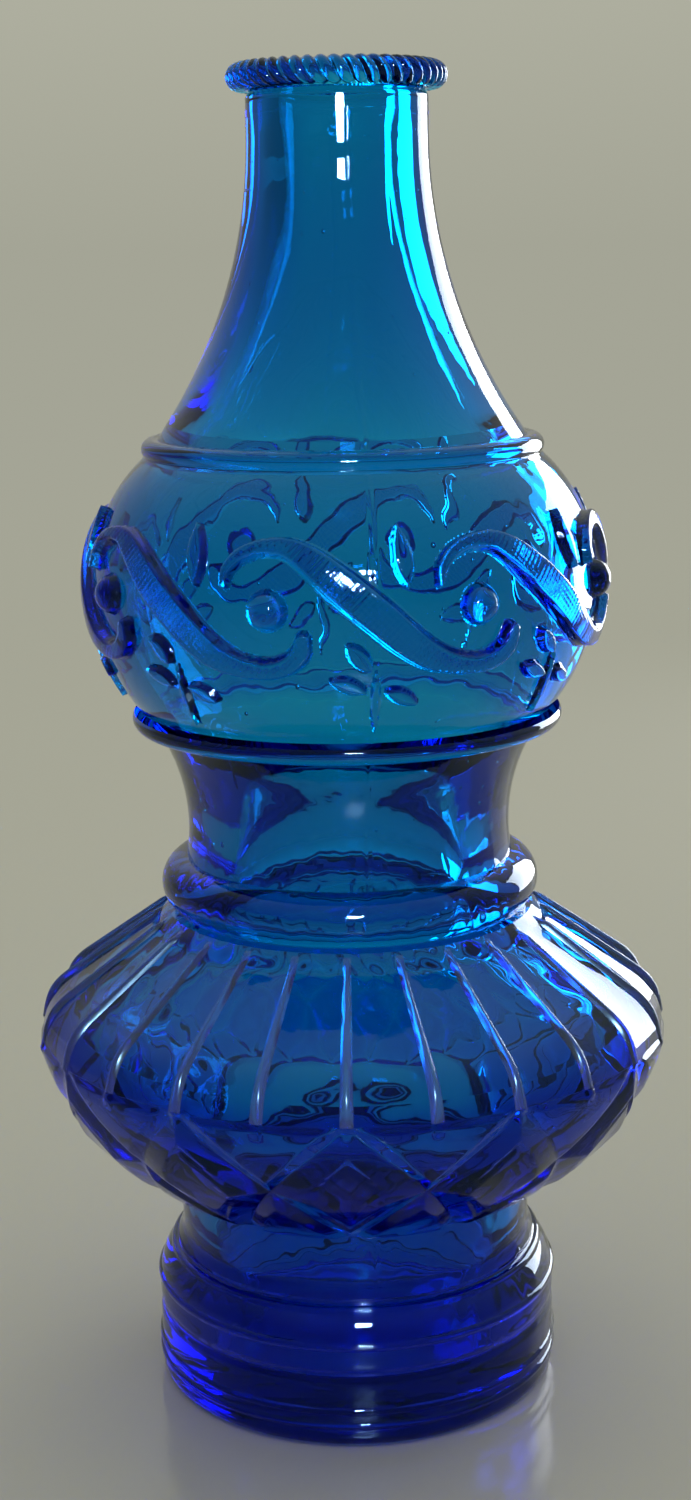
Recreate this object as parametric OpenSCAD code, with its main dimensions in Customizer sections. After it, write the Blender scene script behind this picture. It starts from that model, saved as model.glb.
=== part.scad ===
// Blown glass bottle shaped like an oil lamp: chimney neck, scrolled shade, waist, ribbed font and
// drum foot. It is one casting of glass. Each node is one formed stretch or ornament of that
// casting, and neighbours meet face to face. The origin is the middle of the resting face, +Z is up
// and azimuth 0 faces -Y.

/* [Mouth and neck] */
// Radius of the straight bore at the mouth
bore_r = 10; // [8:0.5:11]
// Outer radius of the neck at its narrowest
neck_r = 15.8; // [15:0.1:17]
// Number of strands in the rope around the lip
rope_strands = 48; // [36:4:60]
// How far each strand stands proud
rope_relief = 0.7; // [0.3:0.1:1]

/* [Shade] */
// Largest radius of the lamp-shade bulb
bulb_r = 45.3; // [44:0.1:47]
// Number of scroll repeats around the bulb
scroll_count = 8; // [6:1:8]
// How far the scrolls and leaves stand proud
scroll_relief = 1.5; // [0.8:0.1:2]
// Radius of the round bosses
boss_r = 3.3; // [2.5:0.1:3.6]

/* [Waist and collar] */
// Outer radius of the waist at its narrowest
waist_r = 29.3; // [28.5:0.1:30]
// Section radius of the collar bead
collar_bead_r = 4.9; // [4:0.1:4.9]

/* [Font] */
// Largest radius of the font, without its ribs
font_r = 58; // [56:0.5:60]
// Number of ribs; every second one ends in a diamond
rib_count = 24; // [16:4:32]
// Height of a rib above the flutes
rib_h = 0.9; // [0.4:0.1:1.4]
// Width of a rib at the widest part of the font
rib_w = 1.8; // [1:0.1:2.6]
// Height of the diamonds above the bowl
diamond_h = 1.3; // [0.5:0.1:2]

/* [Foot] */
// Outer radius of the drum foot
foot_r = 37.5; // [36:0.5:39]
// Radius of the cavity inside the foot
foot_bore_r = 26.5; // [24:0.5:28]
// Thickness of the glass floor
floor_t = 7; // [5:0.5:9]

/* [Hidden] */
$fn = 96;

// Heights of the planes where neighbouring stretches meet
top_z = 240;
neck_top_z = 231.6;
shoulder_top_z = 176.6;
bulb_top_z = 172.8;
bulb_mid_z = 150.7;
bulb_bottom_z = 128.6;
waist_top_z = 124.8;
waist_bottom_z = 100.8;
collar_bottom_z = 91;
bowl_top_z = 69;
bowl_bottom_z = 38.7;
foot_neck_z = 27;
heel_r = 2.4;
push_up = 1;
rest_in_r = 29;
crown_r = 10;
crown_z = 18.3;
foot_flare_r = 33.7;

// Neck: one outer arc, and a straight bore that opens into an inner arc
neck_arc_z = 229;
neck_arc_r = 90;
bore_end_z = 222;
bore_arc_r = 69;
rope_in_r = 15.2;
rope_mid = [16.7, 237.6];
rope_r = 2.4;

// Bulb: separate arcs above and below its middle, outside and inside
bulb_up_r = 30.5;
bulb_low_r = 35;
bulb_wall = 5.8;
bulb_in_up_r = 27.5;
bulb_in_low_r = 35;
ring_r = 1.9;
shoulder_ring_r = 33.8;
base_ring_r = 37;

waist_arc_z = 106.5;
waist_arc_r = 33.7;
waist_in_r = 20;
waist_in_z = 104;
waist_in_arc_r = 28.6;
collar_in_r = 22;
collar_bead_mid_r = 29.7;

// Font: a round edge, a straight slope up to the collar, and a faceted bowl below
font_mid_z = 66.7;
font_edge_r = 12.5;
slope_a = 55;
slope_len = 19.7;
font_wall = 6;
slope_top_r = 33.6;
foot_neck_r = 32.8;
edge_a = asin((bowl_top_z - font_mid_z) / font_edge_r);
inner_edge_a = asin((bowl_top_z - font_mid_z) / (font_edge_r - font_wall));

ball_z = 152;
ball_turn = -15;
ball_depth = 0.8;
scroll_pitch = 360 / scroll_count;
rib_pitch = 360 / rib_count;

glass = [0.02, 0.36, 0.72, 0.75];
deep_glass = [0.02, 0.12, 0.62, 0.8];

// Points of an arc about c from angle a0 to a1
function arc_pts(c, r, a0, a1, n = 12) =
    [for (i = [0:n]) let (a = a0 + (a1 - a0) * i / n) c + r * [cos(a), sin(a)]];
// Radius at height z of an arc whose bulge, or hollow, is level with z0
function bulge(z, r0, z0, R) = r0 - R + sqrt(R * R - pow(z - z0, 2));
function hollow(z, r0, z0, R) = r0 + R - sqrt(R * R - pow(z - z0, 2));
function heights(z0, z1, n) = [for (i = [0:n]) z0 + (z1 - z0) * i / n];
function reversed(v) = [for (i = [len(v) - 1:-1:0]) v[i]];
// A point at azimuth a, radius r and height z
function around(a, r, z) = [r * sin(a), -r * cos(a), z];

function neck_out(z) = hollow(min(z, neck_arc_z), neck_r, neck_arc_z, neck_arc_r);
function neck_in(z) = hollow(min(z, bore_end_z), bore_r, bore_end_z, bore_arc_r);
function bulb_out(z) = bulge(z, bulb_r, bulb_mid_z, z > bulb_mid_z ? bulb_up_r : bulb_low_r);
function bulb_in(z) =
    bulge(z, bulb_r - bulb_wall, bulb_mid_z, z > bulb_mid_z ? bulb_in_up_r : bulb_in_low_r);
function waist_out(z) = hollow(z, waist_r, waist_arc_z, waist_arc_r);
function waist_in(z) = hollow(z, waist_in_r, waist_in_z, waist_in_arc_r);

// Outline of the font from its widest level to the collar, moved out by d
edge_mid = [font_r - font_edge_r, font_mid_z];
function slope_end(d) = edge_mid + (font_edge_r + d) * [cos(slope_a), sin(slope_a)]
    + slope_len * [-sin(slope_a), cos(slope_a)];
function font_line(d, a0 = 0) = concat(arc_pts(edge_mid, font_edge_r + d, a0, slope_a), [slope_end(d)]);

// Bowl under the font: round at its widest, then nearly straight down to the foot
bowl_top_r = font_line(0, edge_a)[0][0];
function bowl_r(z) = let (t = (bowl_top_z - z) / (bowl_top_z - bowl_bottom_z))
    foot_neck_r + (bowl_top_r - foot_neck_r) * pow(1 - pow(t, 1.6), 0.8);

module shell(outer, inner) {
    rotate_extrude() polygon(concat(outer, reversed(inner)));
}

module ring_bead(r, z, section_r) {
    rotate_extrude() translate([r, z]) circle(r = section_r, $fn = 32);
}

module mouth_ring() {
    lip = 0.8;
    lip_z = top_z - 0.5;
    rope_low_z = rope_mid[1] - rope_r;
    color(deep_glass) shell(
        [[neck_r, neck_top_z], [rope_in_r + 0.6, rope_low_z - 0.6], [rope_in_r, rope_low_z], [rope_in_r, lip_z]],
        [[bore_r, neck_top_z], [bore_r, lip_z - lip], [bore_r + lip, lip_z]]);
}

// Rope of slanted strands: a rounded trail whose section swells once per strand
module rope_mesh() {
    steps = rope_strands * 4;
    gap = 0.02;
    section = concat([[rope_in_r + gap, top_z - 0.35]],
        [for (a = [100:-35:-75]) rope_mid + rope_r * [cos(a), sin(a)]],
        [[rope_in_r + gap, rope_mid[1] - rope_r + 0.1]]);
    m = len(section);
    slant = 180 / rope_strands;
    pts = [for (i = [0:steps - 1], k = [0:m - 1])
        let (a = 360 * i / steps, edge = k == 0 || k == m - 1,
            swell = edge ? 0 : rope_relief * (abs(sin(rope_strands / 2 * (a + slant * (k - m / 2)))) - 1),
            dir = edge ? [0, 0] : (section[k] - rope_mid) / rope_r,
            p = section[k] + swell * dir)
        around(a, p[0], p[1])];
    faces = [for (i = [0:steps - 1], k = [0:m - 1])
        let (a = i * m, b = ((i + 1) % steps) * m, n = (k + 1) % m)
        each [[a + k, b + k, b + n], [a + k, b + n, a + n]]];
    polyhedron(pts, faces, convexity = 6);
}

module rim_rope() {
    color(deep_glass) rope_mesh();
}

module neck() {
    color(glass) shell(
        [for (z = heights(shoulder_top_z, neck_top_z, 16)) [neck_out(z), z]],
        [for (z = heights(shoulder_top_z, neck_top_z, 16)) [neck_in(z), z]]);
}

module shoulder_ring() {
    color(glass) union() {
        shell([[bulb_out(bulb_top_z), bulb_top_z], [neck_out(shoulder_top_z), shoulder_top_z]],
            [[bulb_in(bulb_top_z), bulb_top_z], [neck_in(shoulder_top_z), shoulder_top_z]]);
        ring_bead(shoulder_ring_r, (bulb_top_z + shoulder_top_z) / 2, ring_r);
    }
}

module bulb_body(inner) {
    shell([for (z = heights(bulb_bottom_z, bulb_top_z, 20)) [bulb_out(z), z]], inner);
}

module bulb() {
    color(glass) bulb_body([for (z = heights(bulb_bottom_z, bulb_top_z, 20)) [bulb_in(z), z]]);
}

// A raised strap that follows a path on the bulb. Each path row is azimuth, height and half width;
// its section is a low arch that starts just inside the glass
module strap(path, h) {
    n = len(path);
    function side(i) = let (a = path[max(i - 1, 0)], b = path[min(i + 1, n - 1)],
        v = [(b[0] - a[0]) * bulb_r * PI / 180, b[1] - a[1]]) [-v[1], v[0]] / norm(v);
    section = [[-1, -0.03], [-0.6, 0.85], [0.6, 0.85], [1, -0.03]];
    pts = [for (i = [0:n - 1], s = section)
        let (off = side(i) * s[0] * path[i][2], z = path[i][1] + off[1],
            a = path[i][0] + off[0] / bulb_r * 180 / PI)
        around(a, bulb_out(z) + s[1] * h - 0.02, z)];
    sides = [for (i = [0:n - 2], k = [0:3]) let (a = i * 4, b = a + 4, m = (k + 1) % 4)
        each [[a + k, b + k, b + m], [a + k, b + m, a + m]]];
    e = 4 * n - 4;
    ends = [[0, 1, 2], [0, 2, 3], [e + 3, e + 2, e + 1], [e + 3, e + 1, e]];
    polyhedron(pts, concat(sides, ends));
}

// Scroll: over one boss, down across the bulb, under the next and up in a hook.
// Rows are azimuth from the boss, height above its middle and half width
scroll_path = [[-9.2, 3.8, 0.5], [-8.5, 6.3, 1.1], [-5.6, 8.6, 1.3], [-1, 9.8, 1.4], [4.5, 9.6, 1.9],
    [9.5, 7.6, 2.7], [14.5, 4.6, 3.3], [19.2, 1.6, 3.5], [24, -1.6, 3.5], [28.5, -4.7, 3.3],
    [33.2, -7.3, 2.9], [38, -8.8, 2.3], [43.6, -9.5, 1.9], [48.4, -8.9, 1.8], [52, -7, 1.6],
    [53.4, -4.3, 1]];

module each_scroll() {
    for (i = [0:scroll_count - 1]) rotate([0, 0, ball_turn + i * scroll_pitch]) children();
}

module scroll_ribbons() {
    fit = scroll_pitch / 45;
    color(deep_glass) each_scroll()
        strap([for (p = scroll_path) [p[0] * fit, ball_z + p[1], p[2]]], scroll_relief);
}

module ball_bosses() {
    color(deep_glass) difference() {
        each_scroll() translate(around(0, bulb_out(ball_z) - ball_depth, ball_z)) sphere(boss_r);
        bulb_body([[0, bulb_bottom_z], [0, bulb_top_z]]);
    }
}

// A pointed leaf from one place on the bulb to another, given as azimuth and height
module leaf(from, to, half_w, h) {
    widths = [0.12, 0.7, 1, 0.95, 0.6, 0.1];
    strap([for (i = [0:5]) let (p = from + (to - from) * i / 5) [p[0], ball_z + p[1], half_w * widths[i]]], h);
}

module upper_leaves() {
    color(deep_glass) each_scroll() leaf([29, 3.6], [27.5, 13], 1.9, scroll_relief);
}

module lower_sprigs() {
    color(deep_glass) each_scroll() {
        leaf([22.5, -20.6], [22.5, -10], 0.9, scroll_relief * 0.7);
        leaf([21.2, -9.6], [16.4, -5.4], 1.7, scroll_relief);
        leaf([20.4, -13.4], [12.6, -11.4], 1.5, scroll_relief * 0.8);
        leaf([24.6, -13.4], [31.8, -15.6], 1.5, scroll_relief * 0.8);
    }
}

module bulb_base_ring() {
    color(glass) union() {
        shell([[waist_out(waist_top_z), waist_top_z], [bulb_out(bulb_bottom_z), bulb_bottom_z]],
            [[waist_in(waist_top_z), waist_top_z], [bulb_in(bulb_bottom_z), bulb_bottom_z]]);
        ring_bead(base_ring_r, (waist_top_z + bulb_bottom_z) / 2, ring_r);
    }
}

module waist() {
    color(glass) shell(
        [for (z = heights(waist_bottom_z, waist_top_z, 10)) [waist_out(z), z]],
        [for (z = heights(waist_bottom_z, waist_top_z, 10)) [waist_in(z), z]]);
}

module collar_ring() {
    mid_z = (waist_bottom_z + collar_bottom_z) / 2;
    color(deep_glass) shell(
        concat([[slope_top_r, collar_bottom_z]],
            arc_pts([collar_bead_mid_r, mid_z], collar_bead_r, -66, 90, 10),
            [[waist_out(waist_bottom_z), waist_bottom_z]]),
        [[collar_in_r, collar_bottom_z], [waist_in(waist_bottom_z), waist_bottom_z]]);
}

module font_shoulder() {
    cove = slope_end(-font_wall);
    color(glass) shell(
        concat(font_line(0, edge_a), [[slope_top_r, collar_bottom_z]]),
        concat(font_line(-font_wall, inner_edge_a),
            [[collar_in_r + 3, cove[1] + 4], [collar_in_r, collar_bottom_z]]));
}

// Each rib is a thin slice of a second skin laid over the font
module font_ribs() {
    angle = rib_w / font_r * 180 / PI;
    color(glass) for (i = [0:rib_count - 1]) rotate([0, 0, i * rib_pitch - 90 - angle / 2])
        rotate_extrude(angle = angle) polygon(concat(font_line(rib_h, edge_a), reversed(font_line(0, edge_a))));
}

// Faceted outside of the bowl. Even ribs carry a diamond with a raised table; odd ribs meet the
// point where two diamonds touch
module bowl_body() {
    n = rib_count;
    cross_z = 55.5;
    table = 0.47;
    mid_z = 54;
    tall = [bowl_top_z - mid_z, cross_z - mid_z, bowl_bottom_z - mid_z];
    top = [for (j = [0:n - 1]) around(j * rib_pitch, bowl_r(bowl_top_z), bowl_top_z)];
    low = [for (j = [0:n - 1]) around(j * rib_pitch, bowl_r(bowl_bottom_z), bowl_bottom_z)];
    cross = [for (j = [1:2:n - 1]) around(j * rib_pitch, bowl_r(cross_z), cross_z)];
    tables = [for (j = [0:2:n - 2], c = [[0, tall[0]], [1, tall[1]], [0, tall[2]], [-1, tall[1]]])
        let (z = mid_z + table * c[1])
        around((j + table * c[0]) * rib_pitch, bowl_r(z) + diamond_h, z)];
    pts = concat(top, low, cross, tables);
    L = n;
    C = 2 * n;
    T = C + n / 2;
    faces = [for (k = [0:n / 2 - 1]) let (j = 2 * k, j1 = j + 1, j2 = (j + 2) % n, t = T + 4 * k,
            right = C + k, left = C + (k + n / 2 - 1) % (n / 2))
        each [[j, j1, right], [j1, j2, right],
            [L + j, right, L + j1], [L + j1, right, L + j2],
            [j, right, t + 1], [j, t + 1, t], [right, L + j, t + 2], [right, t + 2, t + 1],
            [L + j, left, t + 3], [L + j, t + 3, t + 2], [left, j, t], [left, t, t + 3],
            [t, t + 1, t + 2], [t, t + 2, t + 3]]];
    polyhedron(pts, concat(faces, [[for (j = [n - 1:-1:0]) j]],
        [[for (j = [0:n - 1]) L + j]]), convexity = 8);
}

module font_bowl() {
    in_r = font_line(-font_wall, inner_edge_a)[0][0];
    color(deep_glass) difference() {
        bowl_body();
        rotate_extrude() polygon([[0, bowl_bottom_z - 1], [foot_bore_r, bowl_bottom_z - 1],
            [foot_bore_r, bowl_bottom_z], [33, 46], [42, 53], [in_r - 3.5, 60],
            [in_r, bowl_top_z], [in_r, bowl_top_z + 1], [0, bowl_top_z + 1]]);
    }
}

module foot_neck() {
    color(glass) shell(
        [[foot_flare_r, foot_neck_z], [foot_neck_r, foot_neck_z + 2], [foot_neck_r, bowl_bottom_z]],
        [[foot_bore_r, foot_neck_z], [foot_bore_r, bowl_bottom_z]]);
}

// Outside of the drum from its resting edge up to the foot neck; side holds the points in between
function drum_line(side = []) = concat([[rest_in_r, 0]],
    arc_pts([foot_r - heel_r, heel_r], heel_r, -90, 0, 8), side,
    arc_pts([foot_r - crown_r, crown_z], crown_r, 0, 52, 8), [[foot_flare_r, foot_neck_z]]);

module foot_drum() {
    groove_z = 14;
    groove_w = 1.5;
    groove_t = 0.5;
    groove = [[foot_r, groove_z - groove_w], [foot_r - groove_t, groove_z], [foot_r, groove_z + groove_w]];
    color(deep_glass) shell(drum_line(groove),
        [[rest_in_r, 0], [foot_bore_r, push_up], [foot_bore_r, foot_neck_z]]);
}

// Fine raised lines around the foot, as [radius from the drum, height, section radius]
module foot_rings() {
    lines = [[-0.4, 4.5, 0.8], [-0.4, 7.2, 0.8], [-0.6, 19.6, 0.9], [-3.3, 25, 0.9]];
    color(deep_glass) difference() {
        for (l = lines) ring_bead(foot_r + l[0], l[1], l[2]);
        rotate_extrude() polygon(concat([[0, 0]], drum_line(), [[0, foot_neck_z]]));
    }
}

// Flat inside, slightly domed underneath
module base_floor() {
    dome = 1.6;
    top = push_up + floor_t;
    under = [for (i = [0:6]) let (t = i / 6) [t * foot_bore_r, push_up + dome * (1 - t * t)]];
    color(deep_glass) rotate_extrude() polygon(concat(under, [[foot_bore_r, top], [0, top]]));
}

rim_rope();
mouth_ring();
neck();
shoulder_ring();
bulb();
scroll_ribbons();
ball_bosses();
upper_leaves();
lower_sprigs();
bulb_base_ring();
waist();
collar_ring();
font_shoulder();
font_ribs();
font_bowl();
foot_neck();
foot_drum();
foot_rings();
base_floor();
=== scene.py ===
"""Blue glass bottle in the shape of an oil lamp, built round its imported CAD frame.

Every stretch and ornament of the casting is a closed skin of its own. A stretch is an outline turned
round the axis and pushed out or in by its relief. Where two pieces touch, the faces carry the face
attribute "seam", which makes their index 1: light isn't bent or mirrored at a joint inside the casting.
Lengths are in millimetres until a mesh is made. Outlines are rows of radius and level.
"""

import math

import bmesh
import bpy
import numpy as np
from mathutils import Matrix, Vector


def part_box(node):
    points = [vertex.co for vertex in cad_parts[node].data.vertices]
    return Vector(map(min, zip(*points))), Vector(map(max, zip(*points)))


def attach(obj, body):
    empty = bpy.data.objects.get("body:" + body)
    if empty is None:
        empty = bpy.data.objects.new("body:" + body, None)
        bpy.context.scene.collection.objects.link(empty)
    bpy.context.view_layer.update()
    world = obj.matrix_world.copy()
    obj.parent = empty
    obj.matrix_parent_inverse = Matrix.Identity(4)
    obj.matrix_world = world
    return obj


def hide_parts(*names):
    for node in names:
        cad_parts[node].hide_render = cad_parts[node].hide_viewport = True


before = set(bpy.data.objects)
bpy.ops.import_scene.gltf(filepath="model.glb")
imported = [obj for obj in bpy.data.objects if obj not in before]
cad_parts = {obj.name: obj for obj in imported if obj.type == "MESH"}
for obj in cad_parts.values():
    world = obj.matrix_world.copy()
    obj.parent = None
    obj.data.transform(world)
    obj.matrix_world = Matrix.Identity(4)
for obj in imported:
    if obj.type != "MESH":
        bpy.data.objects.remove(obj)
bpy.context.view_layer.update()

MM = 0.001
COLUMNS = 960
# Neighbouring stretches stay GAP apart, and an ornament stands SUNK into the glass under it
GAP = 0.01
SUNK = 0.02
PROBE = 1e-6

# ---------------------------------------------------------------- outline, from the frame


def level(node, end):
    """Lowest (0) or highest (1) level of a CAD node, in millimetres."""
    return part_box(node)[end].z / MM


def reach(node):
    """Largest radius of a CAD node, in millimetres."""
    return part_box(node)[1].x / MM


NECK = (level("neck", 0), level("neck", 1))
BULB = (level("bulb", 0), level("bulb", 1))
WAIST = (level("waist", 0), level("waist", 1))
FONT = (level("font_shoulder", 0), level("font_shoulder", 1))
BOWL = (level("font_bowl", 0), level("font_bowl", 1))
FOOT_TOP = level("foot_drum", 1)
LIP_TOP = level("mouth_ring", 1)
BULB_R = reach("bulb")
FOOT_R = reach("foot_drum")

BORE_R = 10.0
NECK_R = 15.8
# Flare of the neck: the level where it starts, and its radius
NECK_OUT_FLARE = (229.0, 90.0)
NECK_IN_FLARE = (222.0, 69.0)
ROPE_IN_R = 15.2
ROPE_MID = (16.7, 237.6)
ROPE_R = 2.4
BULB_MID_Z = 150.7
BULB_WALL = 5.8
# Radii of the bulb's curves above and below its widest level
BULB_OUT_CURVES = (30.5, 35.0)
BULB_IN_CURVES = (27.5, 35.0)
# Waist: smallest radius, the level of it, and the radius of the curve
WAIST_OUT = (29.3, 106.5, 33.7)
WAIST_IN = (20.6, 104.0, 28.6)
COLLAR_IN_R = 22.0
RING_R = 1.9
SHOULDER_RING_MID_R = 33.8
BASE_RING_MID_R = 37.0
COLLAR_MID = (29.7, 95.9)
COLLAR_BEAD = 4.9
SLOPE_TOP_R = 33.6
EDGE_MID = np.array([45.5, 66.7])
EDGE_R = 12.5
SLOPE = math.radians(55)
SLOPE_LEN = 19.7
FONT_WALL = 6.0
BOWL_POWERS = (1.6, 0.8)
FOOT_NECK_R = 32.8
FOOT_FLARE_R = 33.7
FOOT_BORE_R = 26.5
REST_R = 29.0
HEEL = 2.4
CROWN_R, CROWN_Z = 10.0, 18.3


def hollow(z, r0, z0, R):
    """A hollow curve: its smallest radius r0 is at level z0."""
    return r0 + R - np.sqrt(R * R - (z - z0) ** 2)


def bulge(z, r0, z0, R):
    """A bulging curve: its largest radius r0 is at level z0."""
    return r0 - R + np.sqrt(R * R - (z - z0) ** 2)


def neck_out(z):
    z0, curve = NECK_OUT_FLARE
    return hollow(np.minimum(z, z0), NECK_R, z0, curve)


def neck_in(z):
    z0, curve = NECK_IN_FLARE
    return hollow(np.minimum(z, z0), BORE_R, z0, curve)


def bulb_curve(z, r0, curves):
    return bulge(z, r0, BULB_MID_Z, np.where(z > BULB_MID_Z, *curves))


def bulb_out(z):
    return bulb_curve(z, BULB_R, BULB_OUT_CURVES)


def bulb_in(z):
    return bulb_curve(z, BULB_R - BULB_WALL, BULB_IN_CURVES)


def waist_out(z):
    return hollow(z, *WAIST_OUT)


def waist_in(z):
    return hollow(z, *WAIST_IN)


def bowl_out(z):
    t = np.clip((BOWL[1] - z) / (BOWL[1] - BOWL[0]), 0, 1)
    top = float(font_edge(0, EDGE_START)[0])
    return FOOT_NECK_R + (top - FOOT_NECK_R) * (1 - t ** BOWL_POWERS[0]) ** BOWL_POWERS[1]


def font_edge(d, a):
    """A point on the round edge of the font, moved out by d, at angle a above level."""
    return EDGE_MID + (EDGE_R + d) * np.array([math.cos(a), math.sin(a)])


EDGE_START = math.asin((BOWL[1] - EDGE_MID[1]) / EDGE_R)


def slope_end(d):
    """Top of the font's slope, moved out by d."""
    return font_edge(d, SLOPE) + SLOPE_LEN * np.array([-math.sin(SLOPE), math.cos(SLOPE)])


def rise(f, z0, z1):
    """Outline of the curve r = f(z) from z0 to z1."""
    z = np.linspace(z0, z1, 160)
    return np.stack([f(z), z], 1)


def arc(mid, r, a0, a1):
    """Outline of an arc about mid, from angle a0 to a1 in degrees above level."""
    a = np.radians(np.linspace(a0, a1, 60))
    return np.stack([mid[0] + r * np.cos(a), mid[1] + r * np.sin(a)], 1)


def join(*parts):
    """One outline out of points and outlines."""
    return np.concatenate([np.atleast_2d(np.array(p, float)) for p in parts])


def spaced(line, step):
    """The outline resampled to even steps along its length."""
    keep = np.concatenate([[True], np.linalg.norm(np.diff(line, axis=0), axis=1) > 1e-7])
    line = line[keep]
    s = np.concatenate([[0], np.cumsum(np.linalg.norm(np.diff(line, axis=0), axis=1))])
    n = max(2, int(round(s[-1] / step)) + 1)
    t = np.linspace(0, s[-1], n)
    return np.stack([np.interp(t, s, line[:, 0]), np.interp(t, s, line[:, 1])], 1)


def eased(line, passes):
    """The outline with its corners softened, its ends held."""
    line = line.copy()
    for _ in range(passes):
        line[1:-1] = 0.25 * line[:-2] + 0.5 * line[1:-1] + 0.25 * line[2:]
    return line


def normals(line):
    """Unit normals of an outline, on its right-hand side."""
    d = np.gradient(line, axis=0)
    d /= np.maximum(np.linalg.norm(d, axis=1), 1e-9)[:, None]
    return np.stack([d[:, 1], -d[:, 0]], 1)


# ---------------------------------------------------------------- relief

ANGLE = np.arange(COLUMNS) * 2 * np.pi / COLUMNS
MOULD_SEAM = math.radians(7.5)
MOULD_H, MOULD_W = 0.14, 0.4
WAVES = 14
WAVE_ENDS = 3.0
SLOWEST = 0.1
ANY_PHASE = 6.28


def ripple(z, size, height, turns, seed):
    """Uneven surface of worked glass: slow waves that close round the bottle, up to turns of them."""
    r = np.random.default_rng(seed)
    out = np.zeros((len(z), COLUMNS))
    for _ in range(WAVES):
        turns_now = r.integers(1, turns + 1)
        k = r.uniform(SLOWEST, 1.0) * 2 * np.pi / size
        out += np.cos(turns_now * ANGLE[None] + k * z[:, None] * r.choice([-1, 1])
                      + r.uniform(0, ANY_PHASE))
    return out * height / math.sqrt(WAVES)


def bead(line, mid, r):
    """Height of a round bead of radius r about the point mid, over the outline."""
    d = normals(line)
    rel = np.array(mid) - line
    along = rel[:, 0] * -d[:, 1] + rel[:, 1] * d[:, 0]
    deep = -(rel * d).sum(1)
    return np.maximum(np.sqrt(np.maximum(r * r - along ** 2, 0)) - deep, 0) * (np.abs(along) < r)


def smooth(x):
    """0 below 0 and 1 above 1, with a smooth rise between them."""
    x = np.clip(x, 0, 1)
    return x * x * (3 - 2 * x)


BOSS_Z = 152.0
BOSS_TURN = -15.0
REPEATS = 8
RELIEF = 1.6
# Height of the ribbons as a share of RELIEF, and of the stipple on top of them
RIBBON_H = 1.25
STIPPLE_H = 0.025
STIPPLE_FROM = 0.85
# Phase of the stipple, in radians for a degree round the bulb
STIPPLE = 4.05
BALL_R, BALL_SUNK = 3.5, 0.6
# The scroll: azimuth from a boss in degrees, height above the bosses and half width
SCROLL = [(-9.2, 3.8, 0.6), (-8.5, 6.3, 1.1), (-5.6, 8.6, 1.3), (-1, 9.8, 1.4), (4.5, 9.6, 1.9),
          (9.5, 7.6, 2.7), (14.5, 4.6, 3.3), (19.2, 1.6, 3.5), (24, -1.6, 3.5), (28.5, -4.7, 3.3),
          (33.2, -7.3, 2.9), (38, -8.8, 2.3), (43.6, -9.5, 1.9), (48.4, -8.9, 1.9), (51.6, -7, 1.9),
          (52.6, -4.4, 1.4)]
# Leaves: from, to, half width, height as a share of the scrolls'
UPPER_LEAVES = [((29, 3.6), (27.5, 13), 1.9, 1.0)]
SPRIGS = [((22.5, -20.6), (22.5, -10), 0.9, 0.7), ((21.2, -9.6), (16.4, -5.4), 1.7, 1.0),
          ((20.4, -13.4), (12.6, -11.4), 1.5, 0.8), ((24.6, -13.4), (31.8, -15.6), 1.5, 0.8)]
LEAF_WIDTHS = (0.12, 0.7, 1, 0.95, 0.6, 0.1)
# Cross-section of a strap: share of its half width that slopes, and how far its edges drop
STRAP_SLOPE = 0.32
STRAP_CROWN = 0.12
LEAST_HALF_W = 0.15


def curve_through(points, n=90):
    """Dense points on a smooth curve through the given rows."""
    p = np.array(points, float)
    p = np.concatenate([[2 * p[0] - p[1]], p, [2 * p[-1] - p[-2]]])
    out = []
    for t in np.linspace(0, len(p) - 3 - PROBE, n):
        i = int(t)
        f = t - i
        a, b, c, d = p[i:i + 4]
        out.append(0.5 * (2 * b + (c - a) * f + (2 * a - 5 * b + 4 * c - d) * f * f
                          + (3 * b - a - 3 * c + d) * f ** 3))
    return np.array(out)


def strap(path, u, v):
    """Height, 0 to 1, of a raised strap along path over the points u (degrees) and v (mm)."""
    p = curve_through(path)
    k = BULB_R * math.pi / 180
    x, y = u[..., None] * k, v[..., None]
    d = np.sqrt((x - p[:, 0] * k) ** 2 + (y - p[:, 1]) ** 2)
    q = np.min(d / np.maximum(p[:, 2], LEAST_HALF_W), axis=-1)
    return smooth((1 - q) / STRAP_SLOPE) * (1 - STRAP_CROWN * np.minimum(q, 1) ** 2)


def leaf_path(start, end, half_w):
    a, b = np.array(start, float), np.array(end, float)
    last = len(LEAF_WIDTHS) - 1
    return [tuple(a + (b - a) * i / last) + (half_w * w,) for i, w in enumerate(LEAF_WIDTHS)]


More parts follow.
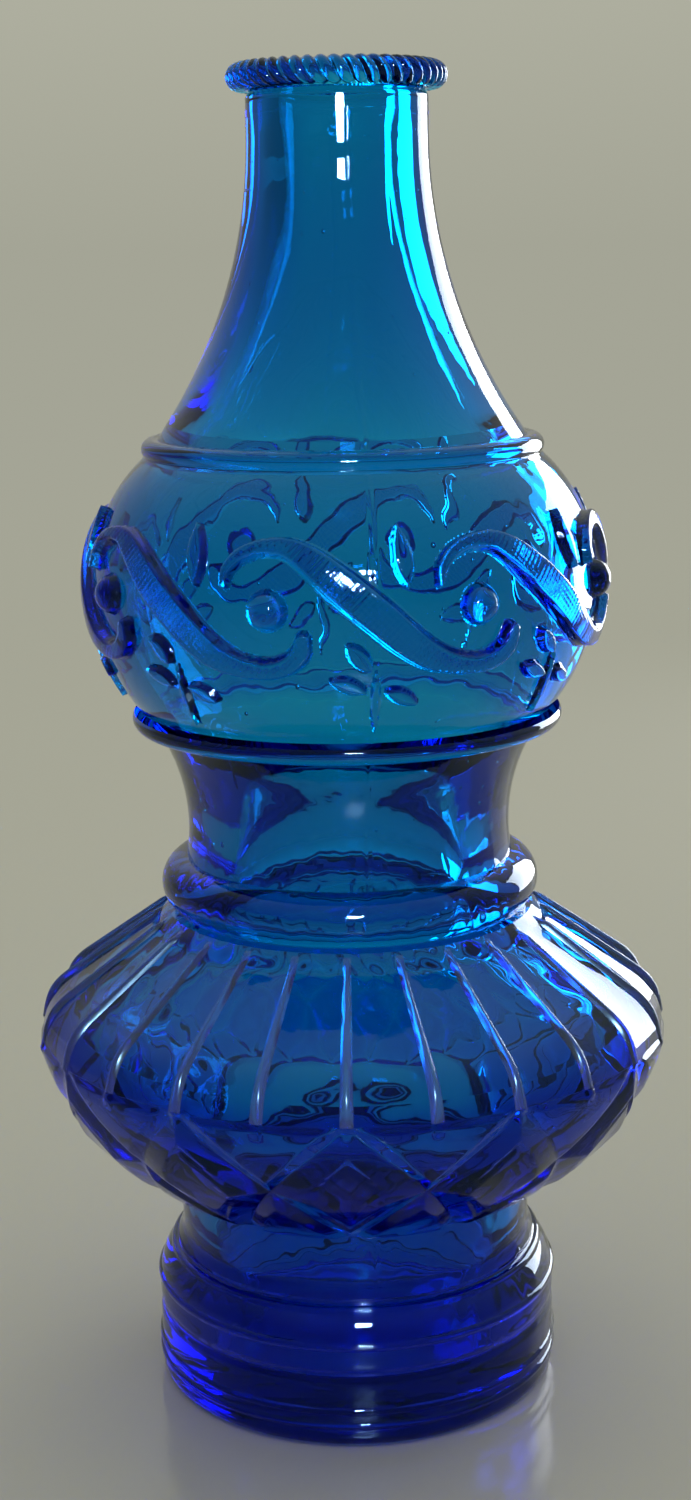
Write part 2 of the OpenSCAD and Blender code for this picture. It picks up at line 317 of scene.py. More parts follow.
def bulb_relief(line):
    """Heights of the scrolls, bosses, upper leaves and sprigs over the bulb."""
    pitch = 360 / REPEATS
    per = COLUMNS // REPEATS
    u0 = np.degrees(ANGLE[:per])[None] * np.ones((len(line), 1))
    v = (line[:, 1] - BOSS_Z)[:, None] * np.ones((1, per))
    shapes = {"scroll_ribbons": 0, "ball_bosses": 0, "upper_leaves": 0, "lower_sprigs": 0}
    for wrap in (-pitch, 0, pitch):
        u = u0 + wrap
        flat = strap(SCROLL, u, v)
        stipple = STIPPLE_H * np.cos(u * STIPPLE) * np.cos(v * STIPPLE / BULB_R * 180 / math.pi)
        ribbon = RIBBON_H * flat + stipple * (flat > STIPPLE_FROM)
        shapes["scroll_ribbons"] = np.maximum(shapes["scroll_ribbons"], ribbon)
        for name, leaves in (("upper_leaves", UPPER_LEAVES), ("lower_sprigs", SPRIGS)):
            for a, b, w, h in leaves:
                shapes[name] = np.maximum(shapes[name], h * strap(leaf_path(a, b, w), u, v))
        d2 = (u * BULB_R * math.pi / 180) ** 2 + v ** 2
        ball = np.sqrt(np.maximum(BALL_R ** 2 - d2, 0)) - BALL_SUNK
        shapes["ball_bosses"] = np.maximum(shapes["ball_bosses"], ball / RELIEF)
    turn = int(round(BOSS_TURN / 360 * COLUMNS))
    return {n: np.roll(np.tile(h * RELIEF, (1, REPEATS)), turn, axis=1) for n, h in shapes.items()}


RIBS = 24
RIB_H = 0.95
# Half width of a rib at the top, how much it gains, and the levels over which it gains it
RIB_HALF_W, RIB_GAIN = 0.5, 0.35
RIB_GAIN_FROM, RIB_GAIN_OVER = 90, 22
# Height left at the font's edge, and the levels above it over which the rib rises to its full height
RIB_TAIL, RIB_TAIL_OVER = 0.35, 6
RIB_FOOT = 1.15
FLUTE_DEPTH = 0.45
RIB_END_Z, RIB_END_OVER = 90.4, 2.5


def rib_phase():
    """Azimuth from the nearest rib, in degrees."""
    pitch = 360 / RIBS
    a = np.degrees(ANGLE)
    return (a + pitch / 2) % pitch - pitch / 2


def rib_relief(line):
    """Rounded ribs, and the broad shallow flutes between them."""
    z = line[:, 1:2]
    x = np.abs(rib_phase())[None] * math.pi / 180 * line[:, :1]
    half = RIB_HALF_W + RIB_GAIN * smooth((RIB_GAIN_FROM - z) / RIB_GAIN_OVER)
    tail = RIB_TAIL + (1 - RIB_TAIL) * smooth((z - BOWL[1]) / RIB_TAIL_OVER)
    rib = RIB_H * tail * np.sqrt(np.clip(1 - (x / (RIB_FOOT * half)) ** 2, 0, 1))
    span = math.pi * line[:, :1] / RIBS
    flute = -FLUTE_DEPTH * (1 - (1 - np.clip((x - half) / (span - half), 0, 1)) ** 2)
    fade = smooth((RIB_END_Z - z) / RIB_END_OVER)
    return rib * fade, flute * (x > half) * fade


DIAMOND_SCALE = 1.35
DIAMOND_MID_Z = 54.0
DIAMOND_H, DIAMOND_SLOPE = 1.4, 0.53
BETWEEN_H, BETWEEN_SLOPE = 0.7, 0.22
GROOVE_DEPTH = 0.3
TABLE_FROM = 0.4
TABLE_HALF = 7
BOWL_FADES = (1.2, 1.5)


def diamond_relief(line):
    """Diamonds with a raised table on every second rib, and V grooves between them."""
    pitch = 360 / RIBS
    a = np.degrees(ANGLE)
    off = np.abs((a + pitch) % (2 * pitch) - pitch) / pitch
    z = line[:, 1]
    mid = DIAMOND_MID_Z
    v = np.where(z > mid, (z - mid) / (BOWL[1] - mid), (mid - z) / (mid - BOWL[0]))
    m = 1 - off[None] - v[:, None]
    inside = DIAMOND_H * np.clip(m / DIAMOND_SLOPE, 0, 1)
    outside = BETWEEN_H * np.clip(-m / BETWEEN_SLOPE, 0, 1)
    # The table is flat, so it lies under the round of the bowl by the height of a chord
    chord = math.cos(math.radians(TABLE_HALF)) / np.cos(np.radians(np.minimum(off * pitch, TABLE_HALF)))
    flat = line[:, :1] * (1 - chord)[None]
    table = -flat * (m > TABLE_FROM)
    fade = smooth((BOWL[1] - z) / BOWL_FADES[0])[:, None] * smooth((z - BOWL[0]) / BOWL_FADES[1])[:, None]
    return DIAMOND_SCALE * (inside + outside + table - GROOVE_DEPTH) * fade


STRANDS = 48
STRAND_SLANT = 1.1
STRAND_DEPTH = 0.75
STRAND_POWER = 0.65
STRAND_FROM, STRAND_OVER = 0.2, 0.8


def rope_relief(line):
    """Slanted strands: bulges with a V groove between them."""
    a = np.arctan2(line[:, 1] - ROPE_MID[1], line[:, 0] - ROPE_MID[0])
    phase = STRANDS / 2 * ANGLE[None] + a[:, None] * STRAND_SLANT
    open_side = smooth((line[:, :1] - ROPE_IN_R - STRAND_FROM) / STRAND_OVER)
    return STRAND_DEPTH * (np.abs(np.sin(phase)) ** STRAND_POWER - 1) * open_side


# ---------------------------------------------------------------- meshes


def turned(r, z):
    """Points in metres at every column, from radius and height (rows by columns)."""
    return np.stack([r * np.sin(ANGLE), -r * np.cos(ANGLE), z], 2).reshape(-1, 3) * MM


def closed_skin(name, rows, shut, covered=None):
    """A closed mesh from rows of radius and height, each with one value per column. rows[k] is joined to
    rows[k + 1] and the last to the first. shut lists the k whose band is a joint face, and covered marks
    the faces of the first bands that lie under an ornament."""
    r = np.stack([row[0] for row in rows])
    z = np.stack([row[1] for row in rows])
    m, n = r.shape
    k, j = np.meshgrid(np.arange(m), np.arange(n), indexing="ij")
    k1, j1 = (k + 1) % m, (j + 1) % n
    quads = np.stack([k * n + j, k * n + j1, k1 * n + j1, k1 * n + j], 2).reshape(-1, 4)
    seam = np.isin(k, shut)
    if covered is not None:
        seam[:len(covered)] |= covered
    mesh = mesh_from(name, turned(r, z), quads, seam.ravel())
    ends = sorted({s for s in shut} | {(s + 1) % m for s in shut})
    row = edge_ends(mesh) // n
    mark_sharp(mesh, (row[:, 0] == row[:, 1]) & np.isin(row[:, 0], ends))
    return new_piece(name, mesh)


def under(height):
    """The faces of a grid of heights that carry an ornament."""
    any_up = height > 1e-4
    any_up = any_up | np.roll(any_up, -1, axis=1)
    return any_up[:-1] | any_up[1:]


def ornament(name, line, base, height, faces):
    """A closed solid that stands on an outline pushed out by base: its top follows height over the marked
    faces, its underside is a joint face just inside the glass it stands on."""
    m, n = height.shape
    d = normals(line)
    top = turned(line[:, :1] + d[:, :1] * (base + height), line[:, 1:] + d[:, 1:] * (base + height))
    base = np.broadcast_to(base, height.shape)
    low = turned(line[:, :1] + d[:, :1] * (base - SUNK), line[:, 1:] + d[:, 1:] * (base - SUNK))
    k, j = np.nonzero(faces)
    j1 = (j + 1) % n
    quads = np.stack([k * n + j, k * n + j1, (k + 1) * n + j1, (k + 1) * n + j], 1)
    sides = np.concatenate([quads[:, [a, (a + 1) % 4]] for a in range(4)])
    key = np.minimum(sides[:, 0], sides[:, 1]) * (m * n) + np.maximum(sides[:, 0], sides[:, 1])
    _, first, count = np.unique(key, return_index=True, return_counts=True)
    rim = sides[first[count == 1]]
    walls = np.stack([rim[:, 1], rim[:, 0], rim[:, 0] + m * n, rim[:, 1] + m * n], 1)
    every = np.concatenate([quads, quads[:, ::-1] + m * n, walls])
    used, fresh = np.unique(every, return_inverse=True)
    seam = np.concatenate([np.zeros(len(quads)), np.ones(len(quads) + len(walls))])
    mesh = mesh_from(name, np.concatenate([top, low])[used], fresh.reshape(-1, 4), seam)
    on_rim = np.isin(used % (m * n), rim)
    ends = edge_ends(mesh)
    mark_sharp(mesh, on_rim[ends].all(axis=1))
    return new_piece(name, mesh)


def edge_ends(mesh):
    """The two vertices of every edge."""
    ends = np.zeros(len(mesh.edges) * 2, np.int32)
    mesh.edges.foreach_get("vertices", ends)
    return ends.reshape(-1, 2)


def mesh_from(name, verts, quads, seam):
    """A smooth-shaded mesh of four-cornered faces, with seam as a face attribute."""
    mesh = bpy.data.meshes.new(name)
    mesh.vertices.add(len(verts))
    mesh.vertices.foreach_set("co", verts.astype(np.float32).ravel())
    mesh.loops.add(quads.size)
    mesh.loops.foreach_set("vertex_index", quads.astype(np.int32).ravel())
    mesh.polygons.add(len(quads))
    mesh.polygons.foreach_set("loop_start", np.arange(len(quads), dtype=np.int32) * 4)
    mesh.polygons.foreach_set("use_smooth", np.ones(len(quads), bool))
    mesh.update(calc_edges=True)
    mesh.attributes.new("seam", "FLOAT", "FACE").data.foreach_set("value", np.asarray(seam, np.float32))
    return mesh


def mark_sharp(mesh, sharp):
    layer = mesh.attributes.new("sharp_edge", "BOOLEAN", "EDGE")
    layer.data.foreach_set("value", sharp)


def new_piece(name, mesh):
    obj = bpy.data.objects.new(name, mesh)
    bpy.context.scene.collection.objects.link(obj)
    return obj


def pushed(line, heights):
    """Rows of the outline pushed out along its own normals by heights (rows by columns, or one number)."""
    d = normals(line)
    h = np.zeros((len(line), COLUMNS)) + heights
    r = line[:, :1] + d[:, :1] * h
    z = line[:, 1:] + d[:, 1:] * h
    return [(r[i], z[i]) for i in range(len(line))]


def stretch(name, outer, inner, relief=0.0, inner_wave=0.0, covered=None):
    """A stretch of the casting: outer outline upwards, inner outline downwards, joints at both ends."""
    outer = outer.copy()
    inner = inner.copy()
    outer[0, 1] += GAP / 2
    inner[-1, 1] += GAP / 2
    outer[-1, 1] -= GAP / 2
    inner[0, 1] -= GAP / 2
    rows = pushed(outer, relief) + pushed(inner, inner_wave)
    return closed_skin(name, rows, [len(outer) - 1, len(rows) - 1], covered)


def wave(line, size, height, turns, seed):
    """Ripple that dies out at both ends of the outline, so that neighbours meet."""
    z = np.concatenate([[0], np.cumsum(np.linalg.norm(np.diff(line, axis=0), axis=1))])
    fade = smooth(z / WAVE_ENDS) * smooth((z[-1] - z) / WAVE_ENDS)
    return ripple(z, size, height, turns, seed) * fade[:, None]


def uneven(line, slow, fine, seed):
    """Inside of a blown wall: a slow wave with a finer mottle over it."""
    return (wave(line, size=28, height=slow, turns=8, seed=seed)
            + wave(line, size=6.5, height=fine, turns=46, seed=seed + 40))


def mould_line(line):
    """The two fine ridges left where the halves of the mould met."""
    turn = (ANGLE[None] - MOULD_SEAM + math.pi / 2) % math.pi - math.pi / 2
    across = turn * line[:, :1]
    return MOULD_H * np.exp(-(across / MOULD_W) ** 2)


# ---------------------------------------------------------------- materials

GLASS_IOR = 1.5
GLOSS_TINT = (0.3, 0.62, 1, 1)
CLEAR_BASE = (1, 1, 1, 1)
HAZE_BASE = (0.8, 0.9, 1, 1)
PEEL_SCALE = 260
PEEL_DEPTH = 0.00005


def glass(name, absorb, wear, roughness=0.0, clear=1.0):
    """Tinted right through: the colour comes from how far light travels in the glass. absorb is the
    red, green and blue taken in a millimetre, wear the strength of the bump and clear the transmission."""
    mat = bpy.data.materials.new(name)
    mat.use_nodes = True
    nt = mat.node_tree
    shader = nt.nodes["Principled BSDF"]
    shader.inputs["Base Color"].default_value = CLEAR_BASE if clear == 1 else HAZE_BASE
    shader.inputs["Transmission Weight"].default_value = clear
    shader.inputs["Roughness"].default_value = roughness
    shader.inputs["Specular Tint"].default_value = GLOSS_TINT

    seam = nt.nodes.new("ShaderNodeAttribute")
    seam.attribute_name = "seam"
    bend = nt.nodes.new("ShaderNodeMath")
    bend.operation = "MULTIPLY_ADD"
    bend.inputs[1].default_value = 1 - GLASS_IOR
    bend.inputs[2].default_value = GLASS_IOR
    nt.links.new(seam.outputs["Fac"], bend.inputs[0])
    nt.links.new(bend.outputs[0], shader.inputs["IOR"])

    place = nt.nodes.new("ShaderNodeTexCoord")
    orange_peel = nt.nodes.new("ShaderNodeTexNoise")
    orange_peel.inputs["Scale"].default_value = PEEL_SCALE
    orange_peel.inputs["Detail"].default_value = 1
    nt.links.new(place.outputs["Object"], orange_peel.inputs["Vector"])
    bump = nt.nodes.new("ShaderNodeBump")
    bump.inputs["Strength"].default_value = wear
    bump.inputs["Distance"].default_value = PEEL_DEPTH
    nt.links.new(orange_peel.outputs["Fac"], bump.inputs["Height"])
    nt.links.new(bump.outputs["Normal"], shader.inputs["Normal"])

    depth = nt.nodes.new("ShaderNodeVolumeAbsorption")
    strongest = max(absorb)
    depth.inputs["Density"].default_value = strongest / MM
    depth.inputs["Color"].default_value = tuple(1 - a / strongest for a in absorb) + (1,)
    nt.links.new(depth.outputs[0], nt.nodes["Material Output"].inputs["Volume"])
    return mat


def bubble_air():
    """A bubble is air with glass round it, so its index is the other way up."""
    mat = bpy.data.materials.new("bubble_air")
    mat.use_nodes = True
    nt = mat.node_tree
    shader = nt.nodes["Principled BSDF"]
    shader.inputs["Transmission Weight"].default_value = 1
    shader.inputs["Roughness"].default_value = 0
    shader.inputs["IOR"].default_value = 1 / GLASS_IOR
    return mat


BLUE = glass("blue_glass", absorb=(0.60, 0.108, 0.021), wear=0.5)
# deep_blue_glass is blue_glass made to take in more light per millimetre, so the bulb's ornaments, the
# bowl, the foot and the base come out darker: painted shade, for the shade they stand in, not a darker
# glass.
DEEP_AND_SHADED = glass("deep_blue_glass", absorb=(0.80, 0.18, 0.026), wear=0.6)
AIR = bubble_air()
THIN = glass("thin_blue_glass", absorb=(0.45, 0.072, 0.016), wear=0.5)
WORN = glass("worn_blue_glass", absorb=(0.60, 0.108, 0.021), wear=0.8, roughness=0.2, clear=0.985)

# ---------------------------------------------------------------- the bottle


def finish_piece(obj, slot, *nodes, material=None):
    """Gives a piece its glass, picked by its slot unless one is given, puts it in the body root and hides
    the CAD nodes it stands for.
    """
    obj.data.materials.append(material or (DEEP_AND_SHADED if slot == "deep_blue_glass" else BLUE))
    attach(obj, "root")
    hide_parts(*nodes)


LIP_CHAMFER = 0.3
BORE_CHAMFER = 1.2
# Heights over the joint where the mouth's wall leaves the neck's and reaches the rope's seat
SEAT_FROM, SEAT_TO = 2.6, 3.4
ROPE_TUCK = 0.1


def make_mouth():
    z0 = NECK[1]
    outer = spaced(join((NECK_R, z0), (NECK_R, z0 + SEAT_FROM), (ROPE_IN_R, z0 + SEAT_TO),
                        (ROPE_IN_R, LIP_TOP - LIP_CHAMFER), (ROPE_IN_R - LIP_CHAMFER, LIP_TOP)), step=0.3)
    top = eased(spaced(join((ROPE_IN_R - LIP_CHAMFER, LIP_TOP), (BORE_R + BORE_CHAMFER, LIP_TOP),
                            (BORE_R, LIP_TOP - BORE_CHAMFER), (BORE_R, z0)), step=0.3), passes=3)
    outer[0, 1] += GAP / 2
    top[-1, 1] += GAP / 2
    rows = pushed(outer, 0) + pushed(top[1:], 0)
    hidden = [i for i in range(len(outer) - 1)
              if outer[i, 0] < ROPE_IN_R + GAP and outer[i + 1, 1] < LIP_TOP - LIP_CHAMFER]
    obj = closed_skin("mouth_ring_glass", rows, hidden + [len(rows) - 1])
    finish_piece(obj, "deep_blue_glass", "mouth_ring", material=BLUE)


def make_rope():
    line = spaced(join((ROPE_IN_R + GAP, ROPE_MID[1] - ROPE_R + ROPE_TUCK), arc(ROPE_MID, ROPE_R, -75, 100),
                       (ROPE_IN_R + GAP, LIP_TOP + ROPE_TUCK)), step=0.2)
    rows = pushed(line, rope_relief(line))
    obj = closed_skin("rim_rope_glass", rows, [len(rows) - 1])
    finish_piece(obj, "deep_blue_glass", "rim_rope", material=BLUE)


def make_neck():
    outer = spaced(rise(neck_out, *NECK), step=1.2)
    inner = spaced(rise(neck_in, *NECK), step=1.3)[::-1]
    relief = wave(outer, size=60, height=0.05, turns=7, seed=1) + mould_line(outer)
    obj = stretch("neck_glass", outer, inner, relief, wave(inner, size=60, height=0.12, turns=9, seed=2))
    finish_piece(obj, "blue_glass", "neck")


def make_ring(node, below, above, mid_r):
    """A bead between two stretches, each given as its outside, its inside and the level of its end."""
    (out0, in0, z0), (out1, in1, z1) = below, above
    outer = spaced(join((float(out0(z0)), z0), (float(out1(z1)), z1)), step=0.12)
    inner = spaced(join((float(in1(z1)), z1), (float(in0(z0)), z0)), step=0.6)
    relief = bead(outer, (mid_r, (z0 + z1) / 2), RING_R)[:, None]
    finish_piece(stretch(node + "_glass", outer, inner, relief), "blue_glass", node)


def make_bulb():
    outer = spaced(rise(bulb_out, *BULB), step=0.3)
    inner = spaced(rise(bulb_in, *BULB), step=0.8)[::-1]
    base = wave(outer, size=30, height=0.08, turns=9, seed=3) + mould_line(outer)
    taken = np.zeros((len(outer) - 1, COLUMNS), bool)
    for node, height in bulb_relief(outer).items():
        faces = under(height) & ~taken
        taken |= faces
        obj = ornament(node + "_glass", outer, base, np.maximum(height, 0), faces)
        finish_piece(obj, "deep_blue_glass", node)
    obj = stretch("bulb_glass", outer, inner, base, uneven(inner, slow=0.10, fine=0.02, seed=4), taken)
    finish_piece(obj, "blue_glass", "bulb")


def make_waist():
    outer = spaced(rise(waist_out, *WAIST), step=0.8)
    inner = spaced(rise(waist_in, *WAIST), step=0.8)[::-1]
    relief = wave(outer, size=40, height=0.05, turns=8, seed=5) + mould_line(outer)
    obj = stretch("waist_glass", outer, inner, relief, uneven(inner, slow=0.02, fine=0.008, seed=6))
    finish_piece(obj, "blue_glass", "waist", material=THIN)


def make_collar():
    z0, z1 = FONT[1], WAIST[0]
    outer = eased(spaced(join((SLOPE_TOP_R, z0), arc(COLLAR_MID, COLLAR_BEAD, -62, 88),
                              (float(waist_out(z1)), z1)), step=0.25), passes=2)
    inner = spaced(join((float(waist_in(z1)), z1), (COLLAR_IN_R, z0)), step=0.8)
    obj = stretch("collar_ring_glass", outer, inner, 0.0, uneven(inner, slow=0.05, fine=0.08, seed=7))
    finish_piece(obj, "deep_blue_glass", "collar_ring", material=THIN)


# Inside of the font between the foot's bore and the slope
FONT_HOLLOW = [(33, 47), (42, 54.5), (48.5, 61.5), (50, 67), (47.5, 73.4)]
BORE_END = (0.5, 2.5)
THROAT = (3, 4)
CUT_CLEAR = 0.2
RIB_DIES_OVER = 3.0


def font_line():
    """Outside of the font's edge and slope, upwards."""
    return join(arc(EDGE_MID, EDGE_R, math.degrees(EDGE_START), math.degrees(SLOPE)), slope_end(0))


def font_inside():
    """Inside of the whole font, rounder than the outside, upwards, and its point at the joint."""
    cove = slope_end(-FONT_WALL)
    line = join((FOOT_BORE_R, BOWL[0]), (FOOT_BORE_R + BORE_END[0], BOWL[0] + BORE_END[1]), *FONT_HOLLOW,
                cove, (COLLAR_IN_R + THROAT[0], cove[1] + THROAT[1]), (COLLAR_IN_R, FONT[1]))
    line = eased(spaced(line, step=0.8), passes=26)
    cut = np.array([float(np.interp(BOWL[1], line[:, 1], line[:, 0])), BOWL[1]])
    return line, cut


def make_font():
    z0, z1 = FONT
    outer = eased(spaced(join(font_line(), (SLOPE_TOP_R, z1)), step=0.4), passes=4)
    inside, cut = font_inside()
    inner = join(cut, inside[inside[:, 1] > z0 + CUT_CLEAR])[::-1]
    rib, flute = rib_relief(outer)
    obj = ornament("font_ribs_glass", outer, flute, rib, under(rib))
    finish_piece(obj, "blue_glass", "font_ribs", material=WORN)
    mottle = uneven(inner, slow=0.05, fine=0.09, seed=8)
    obj = stretch("font_shoulder_glass", outer, inner, flute, mottle, under(rib))
    finish_piece(obj, "blue_glass", "font_shoulder")


def make_bowl():
    z0, z1 = BOWL
    outer = spaced(rise(bowl_out, z0, z1), step=0.4)
    inside, cut = font_inside()
    inner = join(inside[inside[:, 1] < z1 - CUT_CLEAR], cut)[::-1]
    rib, flute = rib_relief(font_line())
    rib = (rib + flute)[:1] * (1 - smooth((z1 - outer[:, 1:]) / RIB_DIES_OVER))
    obj = stretch("font_bowl_glass", outer, inner, diamond_relief(outer) + rib,
                  uneven(inner, slow=0.05, fine=0.08, seed=9))
    finish_piece(obj, "deep_blue_glass", "font_bowl")


FLARE_H = 2


def make_foot_neck():
    z0, z1 = FOOT_TOP, BOWL[0]
    outer = join((FOOT_FLARE_R, z0), (FOOT_NECK_R, z0 + FLARE_H), (FOOT_NECK_R, z1))
    outer = eased(spaced(outer, step=0.5), passes=3)
    inner = spaced(join((FOOT_BORE_R, z1), (FOOT_BORE_R, z0)), step=0.8)
    mottle = uneven(inner, slow=0.06, fine=0.03, seed=10)
    obj = stretch("foot_neck_glass", outer, inner, mould_line(outer), mottle)
    finish_piece(obj, "blue_glass", "foot_neck")


PUSH_UP = level("base_floor", 0)
PUSH_UP_MORE = 1.6
FLOOR_TOP = level("base_floor", 1)
FLOOR_COVE = 2.5
AXIS_R = 0.05
# The foot's raised lines: middle from the foot's radius, level and radius of the bead
FOOT_LINES = [(-0.4, 4.5, 0.8), (-0.4, 7.2, 0.8), (-0.6, 19.6, 0.9), (-3.3, 25, 0.9)]
FOOT_GROOVE_DEPTH, FOOT_GROOVE_Z, FOOT_GROOVE_CLEAR = 0.5, 14.0, 0.1


def make_drum():
    outer = spaced(join((REST_R, 0.0), arc((FOOT_R - HEEL, HEEL), HEEL, -90, 0),
                        arc((FOOT_R - CROWN_R, CROWN_Z), CROWN_R, 0, 52),
                        (FOOT_FLARE_R, FOOT_TOP)), step=0.25)
    rings = np.zeros((len(outer), COLUMNS))
    for dr, z, r in FOOT_LINES:
        rings = np.maximum(rings, bead(outer, (FOOT_R + dr, z), r)[:, None])
    on_side = outer[:, :1] > FOOT_R - FOOT_GROOVE_CLEAR
    groove = -FOOT_GROOVE_DEPTH * np.exp(-(outer[:, 1:] - FOOT_GROOVE_Z) ** 2) * on_side
    inner = spaced(join((FOOT_BORE_R, FOOT_TOP), (FOOT_BORE_R, FLOOR_TOP + FLOOR_COVE)), step=0.8)
    outer[-1, 1] -= GAP / 2
    inner[0, 1] -= GAP / 2
    obj = ornament("foot_rings_glass", outer, groove, rings, under(rings))
    finish_piece(obj, "deep_blue_glass", "foot_rings")
    rows = pushed(outer, groove) + pushed(inner, uneven(inner, slow=0.06, fine=0.04, seed=11))
    ones = np.ones(COLUMNS)
    rows += [(ones * FOOT_BORE_R, ones * PUSH_UP)]
    obj = closed_skin("foot_drum_glass", rows, [len(outer) - 1, len(rows) - 2], under(rings))
    finish_piece(obj, "deep_blue_glass", "foot_drum")


def make_floor():
    """A thick disc: pushed up underneath, with a cove where it meets the drum."""
    R = FOOT_BORE_R - GAP
    cove = arc((R - FLOOR_COVE, FLOOR_TOP + FLOOR_COVE), FLOOR_COVE, 0, -90)
    top = spaced(join(cove, (AXIS_R, FLOOR_TOP)), step=0.5)
    t = np.linspace(0, 1, 40)
    bottom = np.stack([AXIS_R + t * (R - AXIS_R), PUSH_UP + PUSH_UP_MORE * (1 - t * t)], 1)
    bottom = spaced(bottom, step=0.5)
    rows = pushed(bottom, 0) + pushed(top, wave(top, size=14, height=0.1, turns=7, seed=12))
    obj = closed_skin("base_floor_glass", rows, [len(bottom) - 1])
    finish_piece(obj, "deep_blue_glass", "base_floor")


# Bubbles: where they lie and how many
SEEDS = [(NECK, neck_out, neck_in, 22), (BULB, bulb_out, bulb_in, 46), (WAIST, waist_out, waist_in, 44)]
# Least radius, how much larger they get, and how rare the large ones are
SEED_R, SEED_MORE, SEED_RARE = 0.16, 0.34, 2.5
SEED_TALLEST = 1.5
# Least glass beside a bubble, and above and below it
SEED_WALL, SEED_ENDS = 0.7, 3


def make_seeds():
    """Small bubbles held in the thickness of the wall."""
    r = np.random.default_rng(21)
    bm = bmesh.new()
    for (z0, z1), out, inn, count in SEEDS:
        for _ in range(count):
            z = r.uniform(z0 + SEED_ENDS, z1 - SEED_ENDS)
            a = r.uniform(0, 2 * math.pi)
            size = SEED_R + SEED_MORE * r.random() ** SEED_RARE
            room = out(z) - inn(z) - 2 * (size + SEED_WALL)
            at = inn(z) + size + SEED_WALL + room * r.random()
            place = Matrix.Translation(Vector((at * math.sin(a), -at * math.cos(a), z)) * MM)
            grown = Matrix.Diagonal((size * MM, size * MM, size * MM * r.uniform(1.0, SEED_TALLEST), 1))
            bmesh.ops.create_icosphere(bm, subdivisions=2, radius=1, matrix=place @ grown)
    mesh = bpy.data.meshes.new("seeds")
    bm.to_mesh(mesh)
    bm.free()
    for face in mesh.polygons:
        face.use_smooth = True
    obj = new_piece("seeds", mesh)
    obj.data.materials.append(AIR)
    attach(obj, "root")


make_mouth()
make_rope()
make_neck()
make_ring("shoulder_ring", (bulb_out, bulb_in, BULB[1]), (neck_out, neck_in, NECK[0]), SHOULDER_RING_MID_R)
make_bulb()
make_ring("bulb_base_ring", (waist_out, waist_in, WAIST[1]), (bulb_out, bulb_in, BULB[0]), BASE_RING_MID_R)
make_waist()
make_collar()
make_font()
make_bowl()
make_foot_neck()
make_drum()
make_floor()
make_seeds()

# ---------------------------------------------------------------- studio, in metres

WALL = (0.372, 0.374, 0.305, 1)
FLOOR_COLOUR = (0.645, 0.64, 0.61, 1)
FLOOR_ROUGHNESS = 0.14
FLOOR_R, FLOOR_SIDES, FLOOR_DROP = 6, 96, 0.00005
# How far behind the bottle the floor starts to pass into the wall, and where it has done so
FLOOR_FADE = (0.15, 2.2)


def ramp(nt, value, start, end, low=0, high=1, interpolation="SMOOTHSTEP"):
    """The output of a node that takes value from start and end to low and high."""
    node = nt.nodes.new("ShaderNodeMapRange")
    node.interpolation_type = interpolation
    node.inputs["From Min"].default_value = start
    node.inputs["From Max"].default_value = end
    node.inputs["To Min"].default_value = low
    node.inputs["To Max"].default_value = high
    nt.links.new(value, node.inputs["Value"])
    return node.outputs[0]


def axes_of(nt, output):
    """X, Y and Z of a texture coordinate."""
    place = nt.nodes.new("ShaderNodeTexCoord")
    axes = nt.nodes.new("ShaderNodeSeparateXYZ")
    nt.links.new(place.outputs[output], axes.inputs[0])
    return axes.outputs


def pale_floor():
    """A pale floor that passes, far behind the bottle, into the colour of the wall."""
    mat = bpy.data.materials.new("pale_floor")
    mat.use_nodes = True
    nt = mat.node_tree
    shader = nt.nodes["Principled BSDF"]
    shader.inputs["Base Color"].default_value = FLOOR_COLOUR
    shader.inputs["Roughness"].default_value = FLOOR_ROUGHNESS
    haze = nt.nodes.new("ShaderNodeEmission")
    haze.inputs["Color"].default_value = WALL
    mix = nt.nodes.new("ShaderNodeMixShader")
    nt.links.new(ramp(nt, axes_of(nt, "Object")["Y"], *FLOOR_FADE), mix.inputs[0])
    nt.links.new(shader.outputs[0], mix.inputs[1])
    nt.links.new(haze.outputs[0], mix.inputs[2])
    nt.links.new(mix.outputs[0], nt.nodes["Material Output"].inputs["Surface"])
    mesh = bpy.data.meshes.new("floor")
    turn = np.linspace(0, 2 * math.pi, FLOOR_SIDES, endpoint=False)
    rim = [(FLOOR_R * math.cos(t), FLOOR_R * math.sin(t), -FLOOR_DROP) for t in turn]
    mesh.from_pydata(rim, [], [list(range(FLOOR_SIDES))])
    floor = new_piece("floor", mesh)
    mesh.materials.append(mat)
    return floor


def product(nt, first, *others):
    """Several outputs, multiplied together."""
    for other in others:
        times = nt.nodes.new("ShaderNodeMath")
        times.operation = "MULTIPLY"
        nt.links.new(first, times.inputs[0])
        nt.links.new(other, times.inputs[1])
        first = times.outputs[0]
    return first


def world_light():
    """Pale all round: brighter overhead than at the horizon, dimmer in front and on the left."""
    world = bpy.data.worlds.new("studio")
    bpy.context.scene.world = world
    world.use_nodes = True
    nt = world.node_tree
    axes = axes_of(nt, "Generated")
    up = ramp(nt, axes["Z"], 0.0, 0.9, 1.0, 2.2, "LINEAR")
    behind = ramp(nt, axes["Y"], -1, 0.7, 0.36, 1.0)
    left = ramp(nt, axes["X"], -0.95, -0.35, 0.55, 1.0)
    back = nt.nodes["Background"]
    nt.links.new(product(nt, up, behind, left), back.inputs["Strength"])
    back.inputs["Color"].default_value = WALL


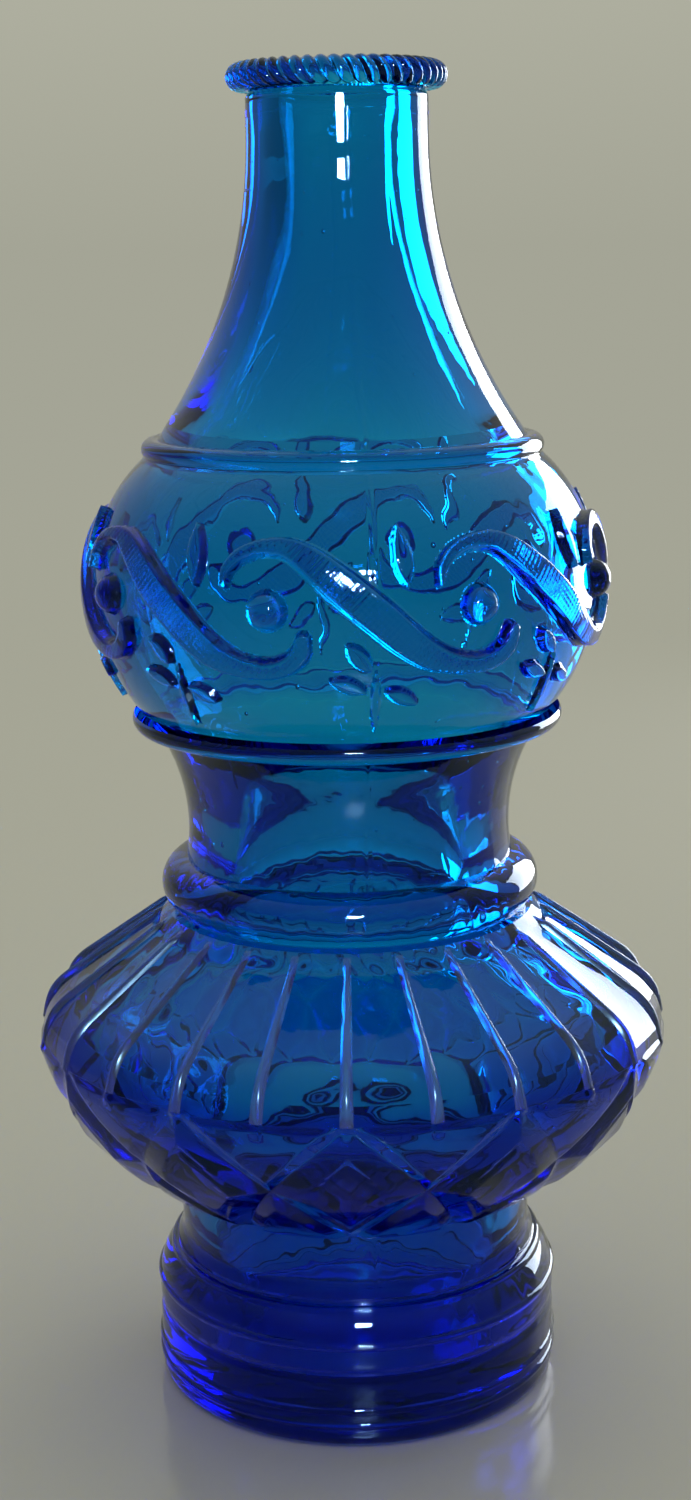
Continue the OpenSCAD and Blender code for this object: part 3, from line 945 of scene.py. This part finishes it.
def soft_light(name, place, target, width, height, watts, only, gloss_only=False):
    """A rectangle of light that reaches only some objects, and on request only as a reflection."""
    data = bpy.data.lights.new(name, "AREA")
    data.shape = "RECTANGLE"
    data.size, data.size_y = width, height
    data.energy = watts
    lamp = bpy.data.objects.new(name, data)
    lamp.location = place
    lamp.rotation_euler = (Vector(target) - Vector(place)).to_track_quat("-Z", "Y").to_euler()
    lamp.visible_diffuse = not gloss_only
    lit = bpy.data.collections.new(name + "_lights")
    for obj in only:
        lit.objects.link(obj)
    lamp.light_linking.receiver_collection = lit
    bpy.context.scene.collection.objects.link(lamp)


CAMERA_PLACE = (0.0085, -0.4040, 0.2091)
CAMERA_TURN = (77.46, 0.95, 1.05)
LENS_MM = 54.36
SENSOR_MM = 36
CLIP_START = 0.01


def camera():
    data = bpy.data.cameras.new("camera")
    data.sensor_fit = "VERTICAL"
    data.sensor_height = SENSOR_MM
    data.sensor_width = SENSOR_MM
    data.lens = LENS_MM
    data.clip_start = CLIP_START
    cam = bpy.data.objects.new("camera", data)
    cam.location = CAMERA_PLACE
    cam.rotation_mode = "XYZ"
    cam.rotation_euler = [math.radians(a) for a in CAMERA_TURN]
    bpy.context.scene.collection.objects.link(cam)
    bpy.context.scene.camera = cam


WINDOW = {"place": (0.48, 0.52, 0.18), "target": (0, 0, 0.12), "width": 0.42, "height": 0.5}
WINDOW_WATTS = 6
WINDOW_ON_FLOOR_WATTS = 0.7
FRONT = {"target": (0, 0, 0.13), "width": 0.075, "height": 0.022, "watts": 1.9}
FRONT_X, FRONT_Y = 0.035, -0.43
FRONT_LEVELS = (0.262, 0.302)
LIGHT_BOUNCES = 32
GLOSSY_BOUNCES = 16

floor = pale_floor()
world_light()
bottle = [o for o in bpy.context.scene.objects
          if o.type == "MESH" and o is not floor and not o.hide_render]
soft_light("window", **WINDOW, watts=WINDOW_WATTS, only=bottle)
soft_light("window_on_floor", **WINDOW, watts=WINDOW_ON_FLOOR_WATTS, only=[floor])
soft_light("window_in_floor", **WINDOW, watts=WINDOW_WATTS, only=[floor], gloss_only=True)
for i, z in enumerate(FRONT_LEVELS):
    place = (FRONT_X, FRONT_Y, z)
    soft_light("front_%d" % i, place, **FRONT, only=bottle)
    soft_light("front_in_floor_%d" % i, place, **FRONT, only=[floor], gloss_only=True)

camera()
bpy.context.scene.view_settings.view_transform = "Standard"
bpy.context.scene.cycles.max_bounces = LIGHT_BOUNCES
bpy.context.scene.cycles.transmission_bounces = LIGHT_BOUNCES
bpy.context.scene.cycles.glossy_bounces = GLOSSY_BOUNCES
